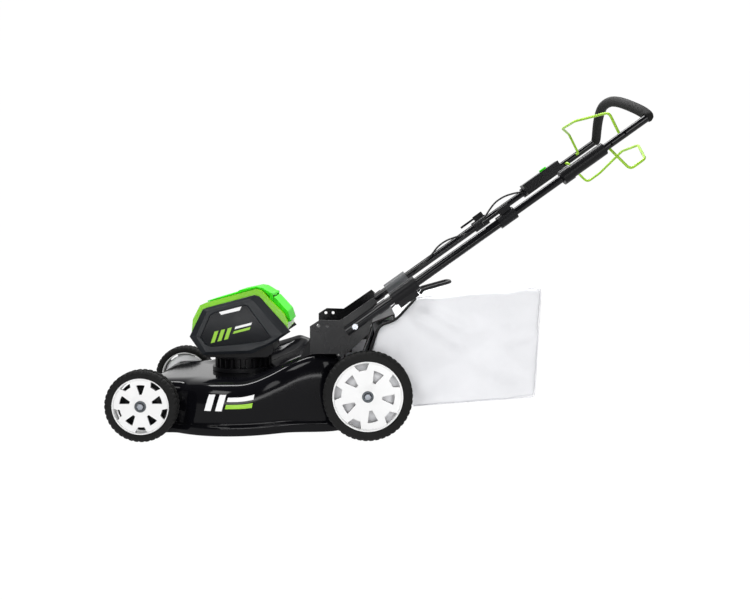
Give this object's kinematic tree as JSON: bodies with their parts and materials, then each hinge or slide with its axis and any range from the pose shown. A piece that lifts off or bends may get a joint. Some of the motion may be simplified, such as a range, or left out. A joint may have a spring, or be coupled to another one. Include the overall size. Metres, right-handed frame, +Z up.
{
  "type": "push lawn mower",
  "caption": "Walk-behind battery lawn mower with steel deck, folding telescopic handle, two bails and rear grass bag.",
  "frame": {"origin": "on the ground, below the middle of the bounding box", "axes": "front of the mower along -X, operator at +X, operator left along -Y, +Z up"},
  "size_m": [1.5647, 0.57, 1.0103],
  "materials": {
    "gloss_black_steel": "gloss enamel",
    "black_steel_tube": "semi-gloss powder coat",
    "black_plastic": "fine moulded grain",
    "grey_plastic": "fine moulded grain",
    "lime_plastic": "moulded",
    "bright_lime_plastic": "moulded",
    "white_rim": "moulded",
    "tyre_rubber": "ribbed rubber",
    "zinc_steel": "zinc plated",
    "blade_steel": "ground edge",
    "cast_alloy": "cast",
    "foam": "closed-cell foam",
    "lime_wire": "gloss coated wire",
    "bag_cloth": "woven polyester",
    "cable_black": "cable jacket",
    "orange_plastic": "moulded"
  },
  "bodies": {
    "root": {"deck_shell": "gloss_black_steel", "rear_chute": "black_plastic", "side_door_pin": "zinc_steel", "rear_door_pin": "zinc_steel", "trailing_shield": "tyre_rubber", "motor_housing": "black_plastic", "head_base": "black_plastic", "left_side_panel": "grey_plastic", "right_side_panel": "grey_plastic", "head_shell": "lime_plastic", "lid_pin": "zinc_steel", "battery": "grey_plastic", "safety_key": "orange_plastic", "left_bracket": "black_steel_tube", "right_bracket": "black_steel_tube", "fold_bolts": "zinc_steel"},
    "blade_rotor": {"rotor_shaft": "zinc_steel", "blade_adapter": "cast_alloy", "blade": "blade_steel", "blade_bolt": "zinc_steel"},
    "side_flap": {"side_door": "black_plastic"},
    "rear_flap": {"rear_door": "black_plastic"},
    "lid": {"battery_lid": "bright_lime_plastic"},
    "front_left_height": {"front_left_arm": "black_steel_tube"},
    "front_left_wheel": {"front_left_tyre": "tyre_rubber", "front_left_rim": "white_rim"},
    "front_right_height": {"front_right_arm": "black_steel_tube"},
    "front_right_wheel": {"front_right_tyre": "tyre_rubber", "front_right_rim": "white_rim"},
    "rear_left_height": {"rear_left_arm": "black_steel_tube"},
    "rear_left_wheel": {"rear_left_tyre": "tyre_rubber", "rear_left_rim": "white_rim"},
    "rear_right_height": {"rear_right_arm": "black_steel_tube", "height_lever_knob": "black_plastic"},
    "rear_right_wheel": {"rear_right_tyre": "tyre_rubber", "rear_right_rim": "white_rim"},
    "lower_handle": {"left_lower_tube": "black_steel_tube", "right_lower_tube": "black_steel_tube", "left_knuckle": "black_plastic", "right_knuckle": "black_plastic", "left_cam_block": "black_plastic", "right_cam_block": "black_plastic", "lower_cables": "cable_black"},
    "left_cam": {"left_cam_lever": "black_plastic"},
    "right_cam": {"right_cam_lever": "black_plastic"},
    "upper_frame": {"upper_handle": "black_steel_tube", "foam_grip": "foam", "bail_housing": "black_plastic", "control_box": "black_plastic", "upper_cables": "cable_black"},
    "button": {"start_button": "bright_lime_plastic"},
    "blade_bail_wire": {"blade_bail": "lime_wire"},
    "drive_bail_wire": {"drive_bail": "lime_wire"},
    "grass_bag": {"bag_fabric": "bag_cloth", "bag_frame": "black_steel_tube", "bag_handle": "black_plastic"}
  },
  "joints": [
    {"name": "blade_spin", "type": "hinge", "parent": "root", "child": "blade_rotor", "pos_m": [-0.43585, 0, 0.1], "axis": [0, 0, 1], "continuous": true},
    {"name": "side_flap_hinge", "type": "hinge", "parent": "root", "child": "side_flap", "pos_m": [-0.43585, 0.28, 0.12], "axis": [1, 0, 0], "range_deg": [0, 80], "stiffness_Nm_per_rad": 0.5, "springref_deg": -20.05},
    {"name": "rear_flap_hinge", "type": "hinge", "parent": "root", "child": "rear_flap", "pos_m": [-0.09585, 0, 0.3], "axis": [0, -1, 0], "range_deg": [0, 62], "stiffness_Nm_per_rad": 0.6, "springref_deg": -20.05},
    {"name": "lid_hinge", "type": "hinge", "parent": "root", "child": "lid", "pos_m": [-0.33585, 0, 0.403], "axis": [0, 1, 0], "range_deg": [0, 85]},
    {"name": "rear_right_height_pivot", "type": "hinge", "parent": "root", "child": "rear_right_height", "pos_m": [-0.12985, 0.228, 0.113], "axis": [0, 1, 0], "range_deg": [0, 35]},
    {"name": "rear_left_height_pivot", "type": "hinge", "parent": "root", "child": "rear_left_height", "pos_m": [-0.12985, -0.228, 0.113], "axis": [0, 1, 0], "range_deg": [0, 35]},
    {"name": "front_left_height_pivot", "type": "hinge", "parent": "root", "child": "front_left_height", "pos_m": [-0.59585, -0.233, 0.088], "axis": [0, -1, 0], "range_deg": [0, 35]},
    {"name": "front_right_height_pivot", "type": "hinge", "parent": "root", "child": "front_right_height", "pos_m": [-0.59585, 0.233, 0.088], "axis": [0, -1, 0], "range_deg": [0, 35]},
    {"name": "front_left_wheel_spin", "type": "hinge", "parent": "front_left_height", "child": "front_left_wheel", "pos_m": [-0.68085, -0.263, 0.1015], "axis": [0, 1, 0], "continuous": true},
    {"name": "front_right_wheel_spin", "type": "hinge", "parent": "front_right_height", "child": "front_right_wheel", "pos_m": [-0.68085, 0.263, 0.1015], "axis": [0, 1, 0], "continuous": true},
    {"name": "rear_left_wheel_spin", "type": "hinge", "parent": "rear_left_height", "child": "rear_left_wheel", "pos_m": [-0.04485, -0.261, 0.127], "axis": [0, 1, 0], "continuous": true},
    {"name": "rear_right_wheel_spin", "type": "hinge", "parent": "rear_right_height", "child": "rear_right_wheel", "pos_m": [-0.04485, 0.261, 0.127], "axis": [0, 1, 0], "continuous": true},
    {"name": "handle_fold", "type": "hinge", "parent": "root", "child": "lower_handle", "pos_m": [-0.08085, 0, 0.323], "axis": [0, -1, 0], "range_deg": [0, 138]},
    {"name": "handle_telescope", "type": "slide", "parent": "lower_handle", "child": "upper_frame", "axis": [0.8141, 0, 0.5807], "range_m": [-0.14, 0]},
    {"name": "left_cam_hinge", "type": "hinge", "parent": "lower_handle", "child": "left_cam", "pos_m": [0.34158, -0.236, 0.6538], "axis": [0, 1, 0], "range_deg": [0, 100]},
    {"name": "right_cam_hinge", "type": "hinge", "parent": "lower_handle", "child": "right_cam", "pos_m": [0.34158, 0.236, 0.6538], "axis": [0, 1, 0], "range_deg": [0, 100]},
    {"name": "blade_bail_hinge", "type": "hinge", "parent": "upper_frame", "child": "blade_bail_wire", "pos_m": [0.67674, 0, 0.86584], "axis": [0, 1, 0], "range_deg": [0, 50], "stiffness_Nm_per_rad": 1.2, "springref_deg": -28.65},
    {"name": "drive_bail_hinge", "type": "hinge", "parent": "upper_frame", "child": "drive_bail_wire", "pos_m": [0.63999, 0, 0.83471], "axis": [0, -1, 0], "range_deg": [0, 28], "stiffness_Nm_per_rad": 1.2, "springref_deg": -28.65},
    {"name": "start_button_press", "type": "slide", "parent": "upper_frame", "child": "button", "axis": [0.5807, 0, -0.8141], "range_m": [0, 0.003], "stiffness_N_per_m": 400, "springref_m": -0.003},
    {"name": "bag_slide", "type": "slide", "parent": "root", "child": "grass_bag", "axis": [1, 0, 0], "range_m": [0, 0.25]}
  ],
  "couplings": [
    {"joint": "rear_left_height_pivot", "follows": "rear_right_height_pivot", "ratio": 1},
    {"joint": "front_left_height_pivot", "follows": "rear_right_height_pivot", "ratio": 1},
    {"joint": "front_right_height_pivot", "follows": "rear_right_height_pivot", "ratio": 1}
  ]
}
